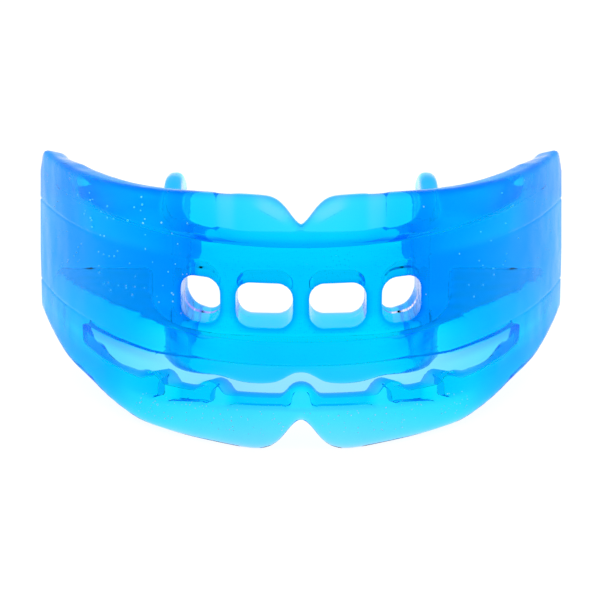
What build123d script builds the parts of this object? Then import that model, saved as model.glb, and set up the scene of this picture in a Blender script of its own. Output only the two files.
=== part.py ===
from build123d import *
import os
from math import acos, asin, atan2, cos, degrees, hypot, sin

# Double mouthguard: one silicone moulding that covers the upper and the lower teeth.
# Millimetres. Z = 0 is the lowest point of the two front lobes, the front faces -Y, +X is the right of the front
# view, and the origin is the middle of the base of the bounding box. The moulding is split into nodes on its own two
# witness lines and at its working zones.

# ---- driving dimensions ---------------------------------------------------------------------------------------------
LENGTH = 51.0               # front face to the ends of the arms, along Y
OUTER_CURVE = (45.0, 154.0, 2.19)   # plan superellipse of the lip side: half width, half depth, power
INNER_CURVE = (15.2, 47.0, 3.2)     # the same for the palate and tongue side
FRONT_DEPTH = 10.0          # outer face to inner face at the centre line
OUTER_WALL = 3.0            # upper wall on the lip side
CHEEK_WALL = 4.4            # which it grows to, evenly, at the ends of the arms
LOWER_WALL = 2.4            # lower wall on the lip and cheek side
INNER_WALL = 2.4            # wall on the palate and tongue side
END_RADIUS = 2.5            # plan corners at the ends of the arms

SEAM_Z = 10.1               # lower witness line
LOWER_BITE_Z = 11.6         # lower bite face, the roof of the lower tooth channel
PORT_FLOOR_Z = 13.7         # underside of the airway band
PORT_ROOF_Z = 18.7          # top of the airway band
WITNESS_Z = 20.9            # upper witness line
UPPER_BITE_Z = 22.1         # upper bite face, the floor of the upper tooth channel
TOP_Z = 28.6                # rim of the upper outer wall
RIM_RADIUS = 1.2            # rounding of that rim
RIM_CORNER = 5.0            # side-view corner of the upper wall at the ends of the arms

CENTRE_PORT = (0.9, 7.2)   # the central ports, nearest and farthest edge from the centre line
OUTER_PORT = (8.9, 13.6)    # the outer ports, the same
PORT_RADIUS = 1.25

# Edges as (X, Z) in front view. The notches and the tongue edge run from side to side, the lip edge from the notch out.
UPPER_NOTCH = [(-5.0, 29.2), (-3.4, 28.2), (-1.5, 26.2), (0.0, 25.2), (1.5, 26.2), (3.4, 28.2), (5.0, 29.2)]
LOWER_NOTCH = [(-2.9, -0.8), (-2.2, 1.4), (-1.5, 2.8), (0.0, 3.4), (1.5, 2.8), (2.2, 1.4), (2.9, -0.8)]
LIP_EDGE = [(2.4, 0.8), (4.7, 0.05), (7.4, 0.2), (10.0, 0.5), (15.0, 0.7), (20.0, 1.1)]
TONGUE_EDGE = [(0.0, 7.0), (3.8, 5.8), (7.5, 5.6), (12.6, 6.1), (16.0, 5.6)]
# Edges as (Y, Z) in side view.
CHEEK_EDGE = [(-16.0, 1.0), (-5.0, 2.3), (6.0, 3.0), (20.0, 4.6), (26.0, 5.6)]
TONGUE_SIDE = [(-9.0, 6.2), (-4.0, 5.4), (4.5, 4.5), (17.0, 4.4), (26.0, 8.4)]
PALATE_RIM = [(-20.0, 23.0), (-8.0, 23.1), (3.0, 23.9), (13.0, 25.2), (19.0, 24.9), (26.0, 21.9)]

GROOVE_WALL = 1.0           # lower outer wall behind the bracket groove
GROOVE_Z = (4.4, 9.3)
GROOVE_END_Y = 4.0          # where the groove stops along the arms
BAND_TOP_Z = 5.8            # the lip band fills the bottom of the groove
BAND_DEPTH = 4.0            # lip face to the back of the band
POCKET_X = (-19.2, -11.1, 0.0, 11.1, 19.2)      # the five bracket pockets, along X on the outer curve
POCKET_ARCH = 3.2           # outside width of the arch round a pocket
POCKET_SLOT = 2.1           # width of the pocket itself
POCKET_TOP = 7.1            # crown of the arch

FRONT_Y = -LENGTH / 2
BACK_Y = LENGTH / 2
SPAN = 2 * LENGTH           # longer than the part, for cutters


# ---- plan curves ----------------------------------------------------------------------------------------------------
def on_curve(curve, front, t, inset):
    """Point on a superellipse at parameter t, moved inwards by inset, and the unit normal there."""
    a, b, power = curve
    x, y = a * sin(t) ** (2 / power), front + b * (1 - cos(t) ** (2 / power))
    gx, gy = sin(t) ** (2 - 2 / power) / a, -cos(t) ** (2 - 2 / power) / b
    size = hypot(gx, gy)
    return x - inset * gx / size, y - inset * gy / size, gx / size, gy / size


def plan_curve(curve, front, inset, end_inset, points=10):
    """Spline from the left arm round the front to the right arm, a little longer than the part, with its inset
    growing evenly from the front to the ends."""
    last = acos((1 - (BACK_Y + 1.4 - front) / curve[1]) ** (curve[2] / 2))
    half = [on_curve(curve, front, last * i / points, inset + (end_inset - inset) * i / points)[:2]
            for i in range(points + 1)]
    return Spline(*[(-x, y) for x, y in reversed(half[1:])], *half)


def outer(inset=0.0, end_inset=None):
    return plan_curve(OUTER_CURVE, FRONT_Y, inset, inset if end_inset is None else end_inset)


def inner(outset=0.0):
    return plan_curve(INNER_CURVE, FRONT_Y + FRONT_DEPTH, -outset, -outset)


def ring(lip_side, tongue_side, z0, z1):
    """U-shaped slab between two plan curves."""
    ends = [Line(lip_side @ 1, tongue_side @ 1), Line(lip_side @ 0, tongue_side @ 0)]
    face = make_face([lip_side, tongue_side, *ends])
    return extrude(Pos(0, 0, z0) * face, amount=z1 - z0, dir=(0, 0, 1))


# ---- cutters --------------------------------------------------------------------------------------------------------
def past_edge(points, limit, sweep):
    """Prism between a smooth edge and the level limit, swept along a vector."""
    edge = Spline(*points)
    first, last = edge @ 0, edge @ 1
    corners = [Vector(last.X, last.Y, limit), Vector(first.X, first.Y, limit)]
    face = make_face([edge, Line(last, corners[0]), Line(*corners), Line(corners[1], first)])
    return extrude(face, amount=Vector(*sweep).length, dir=sweep)


def channel(lip_side, z0, z1):
    """A tooth channel, between its two walls and as long as the arms."""
    return ring(lip_side, inner(INNER_WALL), z0, z1) & envelope


def front_cut(points, limit, depth):
    """Cutter for the front of the arch, its edge drawn in front view."""
    return past_edge([(x, FRONT_Y - 1, z) for x, z in points], limit, (0, depth, 0))


def side_cut(points, limit):
    """Cutter through both arms, its edge drawn in side view."""
    return past_edge([(-SPAN / 2, y, z) for y, z in points], limit, (SPAN, 0, 0))


def both_sides(points):
    return [(-x, z) for x, z in reversed(points) if x > 0] + points


def pocket(x, width, top):
    """Round-topped prism through the wall, square to it, at a place along the outer curve."""
    a, _, power = OUTER_CURVE
    px, py, nx, ny = on_curve(OUTER_CURVE, FRONT_Y, asin((abs(x) / a) ** (power / 2)), 0)
    shape = Pos(0, 0, top - width / 2) * Rot(90, 0, 0) * Cylinder(width / 2, 9)
    shape += Box(width, 9, top - width / 2 - GROOVE_Z[0], align=(Align.CENTER, Align.CENTER, Align.MIN)
                 ).moved(Pos(0, 0, GROOVE_Z[0]))
    side = 1 if x >= 0 else -1
    return Pos(side * px, py, 0) * Rot(0, 0, side * degrees(atan2(nx, -ny))) * shape


# ---- the outline every node keeps to --------------------------------------------------------------------------------
envelope = ring(outer(), inner(), -1, TOP_Z + 1) & Pos(0, BACK_Y - SPAN, 0) * Box(SPAN, 2 * SPAN, SPAN)
envelope = fillet(envelope.edges().group_by(Axis.Y)[-1].filter_by(GeomType.BSPLINE), END_RADIUS)

# ---- upper half: lip wall, palate wall, bite floor ------------------------------------------------------------------
upper_side = Pos(0, BACK_Y - SPAN / 2, TOP_Z - SPAN / 2) * Box(SPAN, SPAN, SPAN)
upper_side = fillet(upper_side.edges().filter_by(Axis.X).group_by(Axis.Z)[-1].sort_by(Axis.Y)[-1], RIM_CORNER)
upper_channel_side = outer(OUTER_WALL, CHEEK_WALL)
upper_outer_wall = ring(outer(), upper_channel_side, WITNESS_Z, TOP_Z)
upper_outer_wall = fillet(upper_outer_wall.edges().group_by(Axis.Z)[-1].filter_by(GeomType.BSPLINE), RIM_RADIUS)
upper_outer_wall &= envelope & upper_side
upper_outer_wall -= front_cut(UPPER_NOTCH, SPAN, FRONT_DEPTH)
upper_inner_wall = ring(inner(INNER_WALL), inner(), WITNESS_Z, TOP_Z) & envelope
upper_inner_wall -= side_cut(PALATE_RIM, SPAN)
upper_bite_floor = ring(outer(), inner(), PORT_ROOF_Z, WITNESS_Z) & envelope
upper_bite_floor += channel(upper_channel_side, WITNESS_Z, UPPER_BITE_Z)

# ---- airway band: four ports run straight back through it and leave three pillars and two bite blocks ---------------
airway = ring(outer(), inner(), PORT_FLOOR_Z, PORT_ROOF_Z) & envelope
for near, far in (CENTRE_PORT, OUTER_PORT):
    port = Box(far - near, LENGTH, PORT_ROOF_Z - PORT_FLOOR_Z)
    port = fillet(port.edges().filter_by(Axis.Y), PORT_RADIUS)
    port = Pos((near + far) / 2, FRONT_Y, (PORT_ROOF_Z + PORT_FLOOR_Z) / 2) * port
    airway -= [port, mirror(port, Plane.YZ)]
bite_block_left, pillar_left, pillar_centre, pillar_right, bite_block_right = airway.solids().sort_by(Axis.X)

# ---- lower half: bite floor, lip wall with its bracket groove, lip band, tongue wall --------------------------------
lower_bite_floor = ring(outer(), inner(), SEAM_Z, PORT_FLOOR_Z) & envelope
lower_bite_floor -= channel(outer(LOWER_WALL), SEAM_Z, LOWER_BITE_Z)

groove = ring(outer(GROOVE_WALL), outer(BAND_DEPTH), *GROOVE_Z)
groove &= Pos(0, GROOVE_END_Y - SPAN / 2, 0) * Box(SPAN, SPAN, SPAN)
lower_outer_wall = (ring(outer(), outer(LOWER_WALL), -1, SEAM_Z) & envelope) - groove
lower_outer_wall -= front_cut(both_sides(LIP_EDGE), -SPAN, LENGTH / 3)
lower_outer_wall -= front_cut(LOWER_NOTCH, -SPAN, FRONT_DEPTH)
lower_outer_wall -= side_cut(CHEEK_EDGE, -SPAN)

lip_band = groove & Pos(0, 0, BAND_TOP_Z - SPAN / 2) * Box(SPAN, SPAN, SPAN)
lip_band += [groove & pocket(x, POCKET_ARCH, POCKET_TOP) for x in POCKET_X]
wall_of_arch = (POCKET_ARCH - POCKET_SLOT) / 2
lip_band -= [pocket(x, POCKET_SLOT, POCKET_TOP - wall_of_arch) for x in POCKET_X]

lower_inner_wall = ring(inner(INNER_WALL), inner(), 0, SEAM_Z) & envelope
lower_inner_wall -= front_cut(both_sides(TONGUE_EDGE), -SPAN, LENGTH / 2)
lower_inner_wall -= side_cut(TONGUE_SIDE, -SPAN)

# ---- one STEP file for each node ------------------------------------------------------------------------------------
nodes = {
    "upper_outer_wall": upper_outer_wall,
    "upper_inner_wall": upper_inner_wall,
    "upper_bite_floor": upper_bite_floor,
    "airway_pillar_left": pillar_left,
    "airway_pillar_centre": pillar_centre,
    "airway_pillar_right": pillar_right,
    "bite_block_left": bite_block_left,
    "bite_block_right": bite_block_right,
    "lower_bite_floor": lower_bite_floor,
    "lower_outer_wall": lower_outer_wall,
    "lip_band": lip_band,
    "lower_inner_wall": lower_inner_wall,
}

os.makedirs("parts", exist_ok=True)
for name, solid in nodes.items():
    export_step(solid, f"parts/{name}.step")
    print(name, len(solid.solids()), solid.bounding_box())
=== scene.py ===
"""Double mouthguard: one translucent blue silicone moulding on a pale floor.

Shapes are worked out in millimetres, in the CAD's frame. A point of the moulding also has coordinates of its
own: s, the arc length along the lip face from the middle of the front; n, the depth inwards from that face;
and z, its height. a is s without its sign.
"""
import bmesh
import bpy
import numpy as np
from math import acos, pi
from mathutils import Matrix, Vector


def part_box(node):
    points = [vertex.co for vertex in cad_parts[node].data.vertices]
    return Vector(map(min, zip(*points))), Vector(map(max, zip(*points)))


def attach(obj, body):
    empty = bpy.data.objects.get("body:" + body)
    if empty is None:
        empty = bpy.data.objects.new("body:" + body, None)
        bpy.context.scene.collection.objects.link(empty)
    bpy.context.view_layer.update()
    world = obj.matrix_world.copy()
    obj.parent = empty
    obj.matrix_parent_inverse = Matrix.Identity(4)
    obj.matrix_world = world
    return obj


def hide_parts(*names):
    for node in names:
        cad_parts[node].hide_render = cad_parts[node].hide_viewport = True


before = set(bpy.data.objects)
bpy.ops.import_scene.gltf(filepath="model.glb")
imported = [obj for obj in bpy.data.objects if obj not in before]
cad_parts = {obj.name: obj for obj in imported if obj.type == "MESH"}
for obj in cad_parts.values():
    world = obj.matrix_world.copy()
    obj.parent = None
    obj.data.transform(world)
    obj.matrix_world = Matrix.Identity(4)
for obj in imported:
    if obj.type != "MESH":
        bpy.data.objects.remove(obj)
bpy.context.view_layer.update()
MM = 0.001


# ---- heights and places, read from the CAD frame -----------------------------------------------------------
def box_mm(node):
    """Lowest and highest corner of a CAD node's box, in millimetres."""
    low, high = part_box(node)
    return np.array(low) / MM, np.array(high) / MM


FRONT, BACK = (corner[1] for corner in box_mm("lower_bite_floor"))
TOP = box_mm("upper_outer_wall")[1][2]          # rim of the upper lip wall
WITNESS = box_mm("upper_outer_wall")[0][2]      # upper witness line
SEAM = box_mm("lower_outer_wall")[1][2]         # lower witness line
UPPER_BITE = box_mm("upper_bite_floor")[1][2]   # floor of the upper tooth channel
PORT_LOW, PORT_HIGH = (corner[2] for corner in box_mm("airway_pillar_centre"))


# ---- sizes -------------------------------------------------------------------------------------------------
# Plan curves: half width, half depth and power of a superellipse. The lip face is the CAD's; the tongue face
# is squarer than the CAD's.
OUTER_CURVE = (45.0, 154.0, 2.19)
INNER_CURVE = (15.2, 47.0, 3.8)
FRONT_DEPTH = 10.0                      # from lip face to tongue face in the middle of the front

LOWER_BITE = 11.6                       # roof of the lower tooth channel, at which no node's box ends
CHEEK = 24.0                            # arc length where the front ends and the cheeks begin
UPPER_ROOT, LOWER_ROOT = SEAM + 3, WITNESS - 2  # ends of the upper and lower walls, inside the floors

# Upper lip wall
WALL, CHEEK_WALL = 3.0, 4.4             # thickness at the front and at the ends of the arms
WALL_TAPER = 0.9                        # how much it thins to its rim
RIM_SLOPE = 0.3                         # fall of the rim at the arms' ends, for each mm towards the tongue
SLOPE_ALONG = (46, 56)                  # arc lengths between which that slope begins
LEAN = 0.3                              # how far the arms' upper ends lean in
LEAN_ALONG, LEAN_UP = (36, 56), (14, 26)        # arc lengths and heights between which they do

# In the channel side of the upper lip wall: a hollow on each side of the notch, and an upright flute beyond
HOLLOW_PLACE = (3.1, 26.6)              # X and height
HOLLOW_TURN = (0.88, 0.48)              # cosine and sine of its slope
HOLLOW_DEPTH = 1.0
HOLLOW_HALVES = (2.1, 0.75)             # half length and half width
FLUTE_X, FLUTE_DEPTH, FLUTE_HALF = 8.3, 0.8, 1.1
FLUTE_FOOT = (23, 24.5)                 # heights between which it fades in

# Lower lip wall, bracket groove and lip band
LOWER_WALL, LOWER_EDGE = 2.4, 1.1       # thickness of the wall, and of its free edge
EDGE_HEIGHT = 5.0                       # height below which the wall thins
GROOVE_WALL = 0.75                      # what the groove leaves of the wall
GROOVE_DROP, CHEEK_DROP = 0.8, 0.5      # from the witness line down to the groove, and what the cheeks add
DROP_ALONG = (14, 22)                   # arc lengths between which they add it
GROOVE_END, BAND_END = 41.0, 43.0       # arc lengths
BAND = 4.0                              # thickness of wall and band together
BAND_SLOPE = 1.3                        # rise of the band's underside at the cheeks, for each mm of depth
POCKETS = ((0.0, 7.1), (11.5, 6.9), (21.2, 6.5))        # arc length and crown of the bracket pockets
POCKET_ARCH, POCKET_SLOT = 2.2, 1.25    # half widths of the arch over a pocket and of the pocket
POCKET_WALL = 2.6                       # what the pockets leave of wall and band

INNER_WALL = 2.4                        # palate wall and tongue wall
SEAM_DEPTH, SEAM_HALF = 0.10, 0.16      # witness lines

# Breathing ports
PORTS = ((4.05, 3.15, 0.0), (11.2, 2.25, 0.2))          # X of the middle, half width and extra height
PORT_CORNER = 1.7                       # radius of their corners, seen from the front
PORT_END = 12.0                         # Y that they are cut back to

# Roundings
FILLET = 1.0                            # inside corners between walls and floors
LOWER_FILLET, CHEEK_FILLET = 0.8, 3.4   # inside corner of the lower lip wall, at the front and at the cheeks
FILLET_ALONG = (18, 30)                 # arc lengths between which it grows
RIM = 1.1                               # free rims
LIP_EDGE = 0.8                          # free edge of the lower lip wall
BAND_EDGE, ARCH_EDGE = 0.6, 0.5         # lip band, and the arches over its pockets
BAND_FOOT, CHEEK_FOOT = 0.4, 1.6        # where the band meets the wall, at the front and at the cheeks
GROOVE_EDGE, GROOVE_TIP = 0.4, 1.0      # groove's edges and its two ends
POCKET_FLOOR = 0.5                      # inside the pockets
MOUTH = 0.7                             # mouths of the pockets and ports
LIP_FACE, TONGUE_FACE = 0.7, 0.9        # edges of the two faces
END_LIP, END_TONGUE = 2.2, 0.8          # upright edges of the arms' ends
END_CORNER, END_EDGE = 9.0, 0.5         # upper corner of the arms' ends as seen from the side, and its edge

# Grid that the moulding's surface is found on
STEP = 0.44                             # along the arch and in height
DEPTH_STEP = 0.9 * STEP
GRID_DEPTH = 12.0                       # the grid's depth from lip face to tongue face, before it stretches
STRETCH = (5.2, GRID_DEPTH - 3)         # grid depths between which it stretches
FACE_MARGIN, END_MARGIN, LOW_MARGIN = 0.6, 1.5, 0.8     # grid outside the moulding
FINE_STEP, FINE_REACH = 0.1, 0.4        # closer levels round the witness lines


# ---- shape helpers: fields are negative inside -------------------------------------------------------------
def ramp(v, start, end):
    """Goes from 0 to 1 while v goes from start to end, which may be the lower one."""
    return np.clip((v - start) / (end - start), 0, 1)


def common(a, b, r):
    """Intersection of two fields with its edge rounded to radius r."""
    return np.minimum(np.maximum(a, b), -r) + np.hypot(np.maximum(a + r, 0), np.maximum(b + r, 0))


def joined(a, b, r):
    """Union of two fields with its inside corner filled to radius r."""
    return -common(-a, -b, r)


def without(a, b, r):
    """First field less the second, with the edge of the cut rounded to radius r."""
    return common(a, -b, r)


def smooth_curve(points, blur):
    """Function through (x, y) points with its corners eased over about blur mm."""
    samples, reach = 1200, 200
    px, py = np.array(points, float).T
    x = np.linspace(px[0], px[-1], samples)
    kernel = np.exp(-0.5 * (np.arange(-reach, reach + 1) * (x[1] - x[0]) / blur) ** 2)
    padded = np.pad(np.interp(x, px, py), reach, mode="edge")
    y = np.convolve(padded, kernel / kernel.sum(), mode="valid")
    return lambda q: np.interp(q, x, y)


def round_box(u, v, half_u, half_v, r):
    """Rectangle about the origin with corner radius r."""
    qu, qv = np.abs(u) - half_u + r, np.abs(v) - half_v + r
    return np.hypot(np.maximum(qu, 0), np.maximum(qv, 0)) + np.minimum(np.maximum(qu, qv), 0) - r


# ---- the arch ----------------------------------------------------------------------------------------------
def superellipse(curve, front, t):
    """X and Y of the curve at parameter t, from 0 in the middle of the front."""
    a, b, power = curve
    return a * np.sin(t) ** (2 / power), front + b * (1 - np.cos(t) ** (2 / power))


def outside(curve, front, x, y):
    """Below zero inside a superellipse, above zero outside it."""
    a, b, power = curve
    return (np.abs(x) / a) ** power + np.abs(1 - (y - front) / b) ** power - 1


class Arch:
    """The lip side's plan curve, its normals, and the depth of the moulding behind it, all by arc length."""

    SAMPLES = 4000
    PAST_BACK = 6.0         # how far past the arms' ends the curve goes on
    WIDTHS = (4.0, 24.0)    # the moulding's depth lies between these
    HALVINGS = 40
    FULL_AT = 1.4           # how far past the arms' ends the cheek wall reaches its full thickness

    def __init__(self):
        a, b, power = OUTER_CURVE
        last = acos((1 - (BACK + self.PAST_BACK - FRONT) / b) ** (power / 2))
        t = np.linspace(0, last, self.SAMPLES)
        self.x, self.y = superellipse(OUTER_CURVE, FRONT, t)
        nx, ny = np.sin(t) ** (2 - 2 / power) / a, -np.cos(t) ** (2 - 2 / power) / b
        size = np.hypot(nx, ny)
        self.nx, self.ny = nx / size, ny / size
        self.s = np.concatenate([[0], np.cumsum(np.hypot(np.diff(self.x), np.diff(self.y)))])
        self.width = self.find_width()
        self.along = t / np.interp(BACK + self.FULL_AT, self.y, t)
        self.end = float(np.interp(BACK, self.y, self.s))

    def find_width(self):
        """Depth from the lip face to the tongue face, by halving the range that it lies in."""
        low, high = (np.full(self.x.shape, width) for width in self.WIDTHS)
        for _ in range(self.HALVINGS):
            mid = (low + high) / 2
            x, y = self.x - mid * self.nx, self.y - mid * self.ny
            out = outside(INNER_CURVE, FRONT + FRONT_DEPTH, x, y) > 0
            low, high = np.where(out, mid, low), np.where(out, high, mid)
        return low

    def at(self, s, values):
        """One of the arch's own rows of values, at arc length s."""
        return np.interp(np.abs(s), self.s, values)

    def place(self, s, n):
        """Plan position of a point at arc length s and depth n."""
        x = self.at(s, self.x) - n * self.at(s, self.nx)
        return np.sign(s) * x, self.at(s, self.y) - n * self.at(s, self.ny)


arch = Arch()


# ---- free edges --------------------------------------------------------------------------------------------
# Height, or for rim_dip a fall in height, against arc length; for palate_rim, height against Y.
lip_edge = smooth_curve([(0, 0.6), (5.0, -0.15), (7.4, 0.05), (10.2, 0.25), (16, 0.4), (23, 0.5), (30, 1.5),
                         (36, 2.5), (46, 3.2), (58, 5.0), (66, 6.2)], 1.2)
rim_dip = smooth_curve([(0, 0.0), (8, 0.0), (15, 0.4), (25, 0.8), (45, 1.0), (58, 0.6), (66, 0.4)], 2.0)
tongue_edge = smooth_curve([(0, 7.0), (1.4, 6.8), (4.4, 5.7), (8, 5.5), (11, 5.6), (15, 6.2), (19, 5.8),
                            (29, 4.6), (40, 3.9), (54, 4.4), (62, 6.0)], 1.0)
palate_rim = smooth_curve([(-26, 23.0), (-8, 23.1), (3, 23.9), (13, 25.3), (19, 25.1), (26, 23.0)], 1.6)
band_low = smooth_curve([(0, 4.5), (12, 4.2), (22, 3.1), (34, 3.6), (66, 3.6)], 1.5)
band_high = smooth_curve([(0, 5.8), (14, 5.5), (24, 5.3), (34, 4.9), (41, 5.6), (66, 6.0)], 1.5)


def notch_top(x):
    """How far the upper frenum notch cuts down at X."""
    fall, half, power = 3.4, 1.9, 1.6
    return fall * np.exp(-(np.abs(x) / half) ** power)


def notch_bottom(x):
    """How far the lower frenum notch cuts up at X."""
    rise, half = 2.9, 2.2
    return rise * np.exp(-(x / half) ** 2)


def rim_height(x, a):
    """Height of the upper lip wall's rim at its lip face."""
    return TOP - notch_top(x) - rim_dip(a)


# ---- the moulding ------------------------------------------------------------------------------------------
def relief(x, z):
    """How deep the upper lip wall's hollows are."""
    u, v = x - HOLLOW_PLACE[0], z - HOLLOW_PLACE[1]
    cosine, sine = HOLLOW_TURN
    along, across = (cosine * u + sine * v) / HOLLOW_HALVES[0], (cosine * v - sine * u) / HOLLOW_HALVES[1]
    hollow = HOLLOW_DEPTH * np.exp(-along ** 4 - across ** 4)
    flute = FLUTE_DEPTH * np.exp(-((x - FLUTE_X) / FLUTE_HALF) ** 4) * ramp(z, *FLUTE_FOOT)
    return hollow + flute


def port_field(x, z):
    """The four breathing ports, in front view."""
    middle_z, half_z = (PORT_LOW + PORT_HIGH) / 2, (PORT_HIGH - PORT_LOW) / 2
    ports = [round_box(np.abs(x) - middle, z - middle_z - extra / 2, half, half_z + extra / 2, PORT_CORNER)
             for middle, half, extra in PORTS]
    return np.minimum(*ports)


def lip_band(a, n, z):
    """The band behind the lower lip wall with its five arches, and the bracket pockets that are cut into it.

    The pockets' field has no depth: the caller limits it.
    """
    underside = band_low(a) + BAND_SLOPE * ramp(a, CHEEK, CHEEK + 4) * np.maximum(n - LOWER_WALL, 0)
    band = common(np.maximum(n - BAND, underside - z), z - band_high(a), BAND_EDGE)
    crowns = [np.hypot(a - where, np.maximum(z - crown + POCKET_ARCH, 0)) for where, crown in POCKETS]
    nearest = np.minimum.reduce(crowns)
    arches = common(nearest - POCKET_ARCH, np.maximum(n - BAND, band_low(a) - z), ARCH_EDGE)
    return joined(band, arches, ARCH_EDGE), np.maximum(nearest - POCKET_SLOT, band_low(a) - z)


def upper_lip_wall(x, a, n, z):
    """The wall in front of the upper teeth, from the floor up."""
    thick = WALL + (CHEEK_WALL - WALL) * arch.at(a, arch.along) - relief(np.abs(x), z)
    thick = thick - WALL_TAPER * ramp(z, UPPER_BITE, TOP)
    top = rim_height(x, a) - RIM_SLOPE * n * ramp(a, *SLOPE_ALONG)
    return common(np.maximum(n - thick, UPPER_ROOT - z), z - top, RIM)


def lower_lip_wall(x, a, n, z):
    """The wall in front of the lower teeth: the groove, the lip band with its pockets, then the thin edge."""
    thick = LOWER_WALL - (LOWER_WALL - LOWER_EDGE) * ramp(z, EDGE_HEIGHT, 0)
    wall = np.maximum(n - thick, z - LOWER_ROOT)
    groove_top = SEAM - GROOVE_DROP - CHEEK_DROP * ramp(a, *DROP_ALONG)
    groove = np.maximum(np.maximum(GROOVE_WALL - n, z - groove_top), band_low(a) - z)
    wall = without(wall, common(groove, a - GROOVE_END, GROOVE_TIP), GROOVE_EDGE)
    band, pockets = lip_band(a, n, z)
    foot = BAND_FOOT + (CHEEK_FOOT - BAND_FOOT) * ramp(a, CHEEK, CHEEK + 8)
    wall = joined(wall, np.maximum(band, a - BAND_END), foot)
    wall = without(wall, common(pockets, POCKET_WALL - n, POCKET_FLOOR), MOUTH)
    return common(wall, lip_edge(a) + notch_bottom(x) - z, LIP_EDGE)


def moulding(s, n, z):
    """The moulding's field at arc length s, depth n and height z."""
    x, y = arch.place(s, n)
    width = arch.at(s, arch.width)
    inner = width - n                       # depth measured from the tongue side
    a = np.abs(s)

    body = np.maximum(LOWER_BITE - z, z - UPPER_BITE)
    body = joined(body, upper_lip_wall(x, a, n, z), FILLET)
    palate = common(np.maximum(inner - INNER_WALL, UPPER_ROOT - z), z - palate_rim(y), RIM)
    body = joined(body, palate, FILLET)
    fillet = LOWER_FILLET + (CHEEK_FILLET - LOWER_FILLET) * ramp(a, *FILLET_ALONG)
    body = joined(body, lower_lip_wall(x, a, n, z), fillet)
    tongue = common(np.maximum(inner - INNER_WALL, z - LOWER_ROOT), tongue_edge(a) - z, RIM)
    body = joined(body, tongue, FILLET)

    # Envelope: lip face, tongue face and the ends of the arms.
    witness = sum(SEAM_DEPTH * np.exp(-((z - level) / SEAM_HALF) ** 2) for level in (SEAM, WITNESS))
    lean = LEAN * ramp(z, *LEAN_UP) * ramp(a, *LEAN_ALONG)
    body = common(body, lean - n + witness, LIP_FACE)
    body = common(body, -inner, TONGUE_FACE)
    body = common(body, y - BACK, np.where(inner < width / 2, END_TONGUE, END_LIP))
    end_y, end_z = np.maximum(y - BACK + END_CORNER, 0), np.maximum(z - TOP + END_CORNER, 0)
    body = common(body, np.hypot(end_y, end_z) - END_CORNER, END_EDGE)
    return without(body, np.maximum(port_field(x, z), y - PORT_END), MOUTH)


# ---- surface tint: painted light and shade -----------------------------------------------------------------
# Painted light and shade: paleness of the tint, from 0 to 1, against arc length: on the upper lip wall, and
# below three heights
wall_tone = smooth_curve([(0, 0.76), (8, 0.72), (12, 0.62), (15.5, 0.64), (19, 0.95), (33, 0.95), (42, 0.43),
                          (66, 0.30)], 1.5)
airway_tone = smooth_curve([(0, 0.62), (14, 0.62), (18, 0.58), (33, 0.58), (42, 0.43), (66, 0.38)], 2.0)
seam_tone = smooth_curve([(0, 0.82), (12, 0.82), (16, 0.95), (19, 0.68), (28, 0.46), (66, 0.38)], 2.0)
skirt_tone = smooth_curve([(0, 0.8), (22, 0.84), (42, 0.6), (66, 0.42)], 2.0)
AIRWAY_TOP, SEAM_TOP, SKIRT_TOP = 21.5, 13.5, 8.7

# Painted shade: how much deeper the tint is low on the cheeks, in dark lines at the edges of the ports and
# rim, and behind the lip band
LOW_CHEEK_TONE, EDGE_TONE, BAND_TONE = 0.3, 0.7, 0.35
LOW_CHEEK_TOP = 6.5
PORT_EDGE, PORT_REACH, RIM_REACH = 0.1, 0.5, 0.6        # middle of the ports' painted dark line; reach of both painted dark lines


def painted_shade_tone(s, n, z):
    """Painted light and shade: how pale the surface tint is, from 0 for the deepest to 1."""
    a = np.abs(s)
    x = arch.place(s, n)[0]
    tone = wall_tone(a)
    for top, tone_below in ((AIRWAY_TOP, airway_tone), (SEAM_TOP, seam_tone), (SKIRT_TOP, skirt_tone)):
        tone = tone + (tone_below(a) - tone) * ramp(z, top, top - 1)

    inner = arch.at(s, arch.width) - n
    # Painted light: the palate wall's upper part takes the palest tint.
    palate = ramp(inner, INNER_WALL + 0.6, INNER_WALL + 0.1) * ramp(z, AIRWAY_TOP, AIRWAY_TOP + 1)
    tone = tone + (1 - tone) * palate
    # Painted shade: a deeper tint low on the cheeks.
    tone = tone * (1 - LOW_CHEEK_TONE * ramp(a, CHEEK, CHEEK + 8) * ramp(z, LOW_CHEEK_TOP, LOW_CHEEK_TOP - 1))

    # Painted shade: dark lines along the edges of the ports and along the rim.
    port_line = 1 - np.abs(port_field(x, z) - PORT_EDGE) / PORT_REACH
    rim_line = 1 - (rim_height(x, a) - z) / RIM_REACH
    tone = tone * (1 - EDGE_TONE * np.clip(np.maximum(port_line, rim_line), 0, 1) * ramp(n, 1.0, 0.5))

    # Painted shade behind the lip band: on its surface, away from the lip face and from the pockets.
    band, pockets = lip_band(a, n, z)
    band_back = ramp(band, 0.6, 0.2) * ramp(n, 1.6, 2.2) * ramp(pockets, 0.1, 0.4)
    return tone * (1 - BAND_TONE * band_back * ramp(a, CHEEK + 6, CHEEK))


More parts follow.
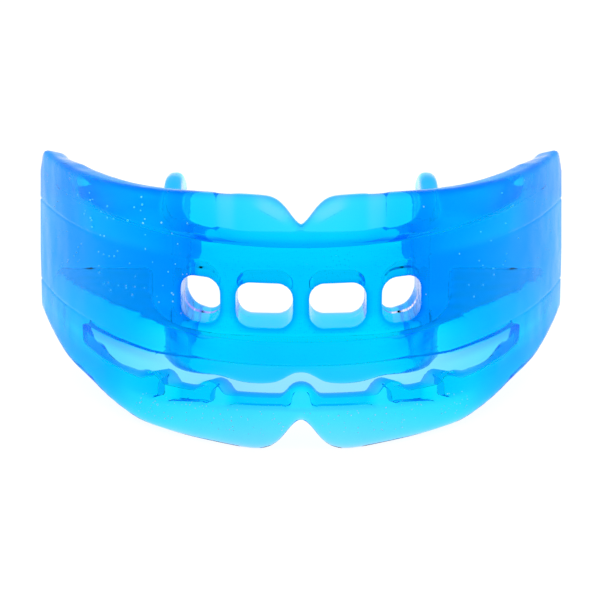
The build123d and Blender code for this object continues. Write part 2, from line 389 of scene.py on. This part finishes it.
# ---- surface of a field ------------------------------------------------------------------------------------
def surface_net(field):
    """Vertices, in grid indices, and quads of the surface where a sampled field changes sign.

    A cell that the surface passes through has one vertex, at the mean of the crossings on the cell's edges.
    A grid edge that the surface crosses has one quad, between the four cells round it.
    """
    cells = tuple(k - 1 for k in field.shape)
    total, count = np.zeros(cells + (3,)), np.zeros(cells)
    for axis in range(3):
        first, second = np.moveaxis(field, axis, 0)[:-1], np.moveaxis(field, axis, 0)[1:]
        cross = (first < 0) != (second < 0)
        t = np.where(cross, first / np.where(cross, first - second, 1), 0)
        u, v = (i for i in range(3) if i != axis)
        axis_total, axis_count = np.moveaxis(total, axis, 0), np.moveaxis(count, axis, 0)
        for du, dv in ((0, 0), (0, 1), (1, 0), (1, 1)):
            part = (slice(None), slice(du, cells[u] + du), slice(dv, cells[v] + dv))
            axis_total[..., axis] += t[part]
            axis_total[..., u] += cross[part] * du
            axis_total[..., v] += cross[part] * dv
            axis_count += cross[part]
    active = count > 0
    points = np.argwhere(active) + total[active] / count[active][:, None]

    index = np.full(cells, -1)
    index[active] = np.arange(active.sum())
    quads = []
    for axis in range(3):
        inner = np.moveaxis(field, axis, 0)[:, 1:-1, 1:-1] < 0
        ids = np.moveaxis(index, axis, 0)
        cross = inner[:-1] != inner[1:]
        corners = [ids[:, :-1, :-1], ids[:, 1:, :-1], ids[:, 1:, 1:], ids[:, :-1, 1:]]
        quad = np.stack([c[cross] for c in corners], axis=1)
        flip = inner[:-1][cross] == (axis == 1)
        quads.append(np.where(flip[:, None], quad[:, ::-1], quad))
    return points, np.concatenate(quads)


def graded(low, high, fine):
    """Grid levels from low to high, with closer ones round each fine level."""
    levels = set(np.round(np.linspace(low, high, int(round((high - low) / STEP)) + 1), 4))
    cleared = FINE_REACH + 0.4 * STEP       # so that no sliver is left beside the closer levels
    for f in fine:
        levels = {v for v in levels if abs(v - f) > cleared}
        count = int(round(2 * FINE_REACH / FINE_STEP)) + 1
        levels |= set(np.round(np.linspace(f - FINE_REACH, f + FINE_REACH, count), 4))
    return np.array(sorted(levels))


def depth(s, m):
    """Depth n for a grid depth m: the grid keeps its step in both walls and stretches between them."""
    w = ramp(m, *STRETCH)
    return m + (arch.at(s, arch.width) - GRID_DEPTH) * w * w * (3 - 2 * w)


def onto_surface(p):
    """Points near the moulding's surface, given as arrays of s, n and z, moved onto it."""
    rounds, probe, longest_move, damping, least_slope = 3, 0.01, 0.15, 0.8, 0.2
    for _ in range(rounds):
        f = moulding(*p)
        grad = []
        for i in range(3):
            below, above = list(p), list(p)
            below[i], above[i] = p[i] - probe, p[i] + probe
            grad.append((moulding(*above) - moulding(*below)) / (2 * probe))
        slope = np.maximum(sum(g * g for g in grad), least_slope)
        p = [v - np.clip(f * g / slope, -longest_move, longest_move) * damping for v, g in zip(p, grad)]
    return p


def build_moulding():
    """Points and quads of the moulding, and the paleness of the tint at each point, which carries painted
    light and shade.
    """
    half_length, thickness = arch.end + END_MARGIN, GRID_DEPTH + 2 * FACE_MARGIN
    half = np.linspace(0, half_length, int(half_length / STEP) + 1)
    s_axis = np.concatenate([-half[:0:-1], half])
    m_axis = np.linspace(-FACE_MARGIN, GRID_DEPTH + FACE_MARGIN, int(thickness / DEPTH_STEP) + 1)
    z_axis = graded(-LOW_MARGIN, TOP + FACE_MARGIN, fine=(SEAM, WITNESS))
    s, m, z = np.meshgrid(s_axis, m_axis, z_axis, indexing="ij")
    corners, quads = surface_net(moulding(s, depth(s, m), z))
    axes = (s_axis, m_axis, z_axis)
    s, m, z = (np.interp(corners[:, i], np.arange(len(axis)), axis) for i, axis in enumerate(axes))
    s, n, z = onto_surface([s, depth(s, m), z])
    x, y = arch.place(s, n)
    return np.stack([x, y, z], axis=1), quads, painted_shade_tone(s, n, z)


def mesh_object(name, points, faces):
    """Smooth-shaded object from points in millimetres."""
    mesh = bpy.data.meshes.new(name)
    mesh.from_pydata((points * MM).tolist(), [], faces.tolist())
    mesh.polygons.foreach_set("use_smooth", np.ones(len(mesh.polygons), bool))
    mesh.update()
    obj = bpy.data.objects.new(name, mesh)
    bpy.context.collection.objects.link(obj)
    return obj


# ---- trapped air -------------------------------------------------------------------------------------------
# Number of bubbles, and their range of arc length, height, cover of silicone over them, and radius.
BUBBLES = ((110, (-60, -12), (14, 27), (0.04, 0.35), (0.06, 0.13)),
           (40, (12, 60), (14, 27), (0.04, 0.35), (0.06, 0.11)),
           (150, (-24, 24), (1.6, 4.4), (0.05, 0.35), (0.05, 0.09)))
BUBBLE_SEED = 7


def build_bubbles():
    """Fine bubbles just under the lip face, as one mesh of small balls; none breaks through the surface."""
    rng = np.random.default_rng(BUBBLE_SEED)
    ball = bmesh.new()
    bmesh.ops.create_icosphere(ball, subdivisions=2, radius=1)
    unit = np.array([v.co[:] for v in ball.verts])
    faces = np.array([[v.index for v in f.verts] for f in ball.faces])
    ball.free()
    points, tris = [], []
    for count, along, height, cover, size in BUBBLES:
        r = rng.uniform(*size, count)
        s, z = rng.uniform(*along, count), rng.uniform(*height, count)
        n = rng.uniform(*cover, count) + r
        inside = moulding(s, n, z) < -r
        x, y = arch.place(s, n)
        for centre, radius in zip(np.stack([x, y, z], axis=1)[inside], r[inside]):
            tris.append(faces + len(unit) * len(points))
            points.append(unit * radius + centre)
    return mesh_object("air_bubbles", np.concatenate(points), np.concatenate(tris))


# ---- materials: colours, and noise in cells per metre ------------------------------------------------------
REFRACTION = 1.045                      # lower than silicone's own 1.41, so that the far side shows through
# The pale tints vary at random; the deep tint is painted shade, laid on where the mesh's tone is low.
PALE_TINTS, PAINTED_SHADE_TINT = ((0.88, 0.88, 1, 1), (0.96, 0.94, 1, 1)), (0.1, 0.1, 1, 1)
DYE_COLOUR, DYE_DENSITY = (0.0, 0.9885, 0.9988, 1), 1250
WHITE = (1, 1, 1, 1)
# Painted glints: the air bubbles' pale base colours.
GLINT_TINTS = ((0.55, 0.85, 1, 1), WHITE)
PATCHES, HAZE, RIPPLES, GRAIN, GLINTS = 90, 260, 160, 2500, 400


def new_material(name):
    """New material, with its Principled shader, its nodes and its links."""
    mat = bpy.data.materials.new(name)
    mat.use_nodes = True
    return mat, mat.node_tree.nodes["Principled BSDF"], mat.node_tree.nodes, mat.node_tree.links


def set_inputs(node, values):
    """Set a node's inputs from a dictionary of their names and values."""
    for name, value in values.items():
        node.inputs[name].default_value = value


def noise(mat, scale, detail):
    """Noise in the part's own space, scale being in cells per metre."""
    nodes = mat.node_tree.nodes
    place, texture = nodes.new("ShaderNodeTexCoord"), nodes.new("ShaderNodeTexNoise")
    set_inputs(texture, {"Scale": scale, "Detail": detail})
    mat.node_tree.links.new(place.outputs["Object"], texture.inputs["Vector"])
    return texture.outputs["Fac"]


def colour_ramp(mat, factor, *stops):
    """Colours that change with a factor, from two (position, colour) stops."""
    node = mat.node_tree.nodes.new("ShaderNodeValToRGB")
    for element, (position, colour) in zip(node.color_ramp.elements, stops):
        element.position, element.color = position, colour
    mat.node_tree.links.new(factor, node.inputs["Fac"])
    return node.outputs["Color"]


def bump(mat, height, strength, depth_mm):
    """Bump node over a height."""
    node = mat.node_tree.nodes.new("ShaderNodeBump")
    set_inputs(node, {"Strength": strength, "Distance": depth_mm * MM})
    mat.node_tree.links.new(height, node.inputs["Height"])
    return node


def silicone_material():
    """Clear silicone with a blue dye through it: a polished surface, faint ripples, cloudier patches, and
    painted light and shade in its surface tint.
    """
    mat, shader, nodes, links = new_material("blue_silicone")
    set_inputs(shader, {"Transmission Weight": 1.0, "IOR": REFRACTION})

    # Tint of the surface: two pale tints in soft patches, and a deep tint of painted shade where the mesh's
    # tone is low.
    pale = colour_ramp(mat, noise(mat, PATCHES, 2), *zip((0.35, 0.65), PALE_TINTS))
    tone, tint = nodes.new("ShaderNodeAttribute"), nodes.new("ShaderNodeMix")
    tone.attribute_name = "tone"
    tint.data_type = "RGBA"
    tint.inputs["A"].default_value = PAINTED_SHADE_TINT
    links.new(tone.outputs["Fac"], tint.inputs["Factor"])
    links.new(pale, tint.inputs["B"])
    links.new(tint.outputs["Result"], shader.inputs["Base Color"])

    haze = nodes.new("ShaderNodeMapRange")
    set_inputs(haze, {"From Min": 0.4, "From Max": 0.7, "To Min": 0.03, "To Max": 0.14})
    links.new(noise(mat, HAZE, 3), haze.inputs["Value"])
    links.new(haze.outputs["Result"], shader.inputs["Roughness"])

    ripple, grain = bump(mat, noise(mat, RIPPLES, 1), 0.5, 0.4), bump(mat, noise(mat, GRAIN, 2), 0.3, 0.03)
    links.new(grain.outputs["Normal"], ripple.inputs["Normal"])
    links.new(ripple.outputs["Normal"], shader.inputs["Normal"])

    # Dye: red light goes within a few millimetres, green and blue hardly fade.
    dye = nodes.new("ShaderNodeVolumeAbsorption")
    set_inputs(dye, {"Color": DYE_COLOUR, "Density": DYE_DENSITY})
    links.new(dye.outputs["Volume"], nodes["Material Output"].inputs["Volume"])
    return mat


def bubble_material():
    """Pale, soft glints, painted into the bubbles' base colour."""
    mat, shader, _, links = new_material("air_bubble")
    shader.inputs["Roughness"].default_value = 0.3
    tint = colour_ramp(mat, noise(mat, GLINTS, 0), *zip((0, 1), GLINT_TINTS))
    links.new(tint, shader.inputs["Base Color"])
    return mat


def floor_material():
    """White floor that glows a little, as a light table does."""
    mat, shader, _, _ = new_material("floor_white")
    set_inputs(shader, {"Base Color": (0.12, 0.12, 0.12, 1), "Roughness": 0.7,
                        "Emission Color": WHITE, "Emission Strength": 0.9})
    return mat


# ---- pieces ------------------------------------------------------------------------------------------------
moulding_points, moulding_quads, moulding_tone = build_moulding()
body = mesh_object("silicone_moulding", moulding_points, moulding_quads)
# The tone attribute carries the painted light and shade of the surface tint.
body.data.attributes.new("tone", "FLOAT", "POINT").data.foreach_set("value", moulding_tone)
body.data.materials.append(silicone_material())
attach(body, "root")
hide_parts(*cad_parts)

bubbles = build_bubbles()
bubbles.data.materials.append(bubble_material())
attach(bubbles, "root")


# ---- stage: sizes in metres --------------------------------------------------------------------------------
FLOOR_SIZE = 6
SOFTBOX_PLACE, SOFTBOX_AIM = (0.0, -0.15, 0.5), (0, 0, 0.015)
SOFTBOX_SIZE, SOFTBOX_POWER = 0.4, 0.4
CAMERA_PLACE = (0, -238.7 * MM, 60.5 * MM)
CAMERA_DIP = 0.201                      # radians below level
CAMERA_LENS, CAMERA_SENSOR = 119.8, 36  # mm
CAMERA_SHIFT = -0.0017                  # part of the picture's width
CAMERA_CLIP = (0.01, 20)

bpy.ops.mesh.primitive_plane_add(size=FLOOR_SIZE, location=(0, 0, 0))
floor = bpy.context.object
floor.name = "floor"
floor.data.materials.append(floor_material())

world = bpy.data.worlds.new("studio")
world.use_nodes = True
set_inputs(world.node_tree.nodes["Background"], {"Color": WHITE, "Strength": 1.0})
bpy.context.scene.world = world
bpy.context.scene.view_settings.view_transform = "Standard"

softbox_data = bpy.data.lights.new("top_softbox", "AREA")
softbox_data.size, softbox_data.energy = SOFTBOX_SIZE, SOFTBOX_POWER
softbox = bpy.data.objects.new("top_softbox", softbox_data)
softbox.location = SOFTBOX_PLACE
softbox.rotation_euler = (Vector(SOFTBOX_AIM) - Vector(SOFTBOX_PLACE)).to_track_quat("-Z", "Y").to_euler()
bpy.context.collection.objects.link(softbox)

camera_data = bpy.data.cameras.new("camera")
camera_data.lens, camera_data.sensor_width = CAMERA_LENS, CAMERA_SENSOR
camera_data.shift_x = CAMERA_SHIFT
camera_data.clip_start, camera_data.clip_end = CAMERA_CLIP
camera = bpy.data.objects.new("camera", camera_data)
camera.location = CAMERA_PLACE
camera.rotation_euler = (pi / 2 - CAMERA_DIP, 0, 0)
bpy.context.collection.objects.link(camera)
bpy.context.scene.camera = camera
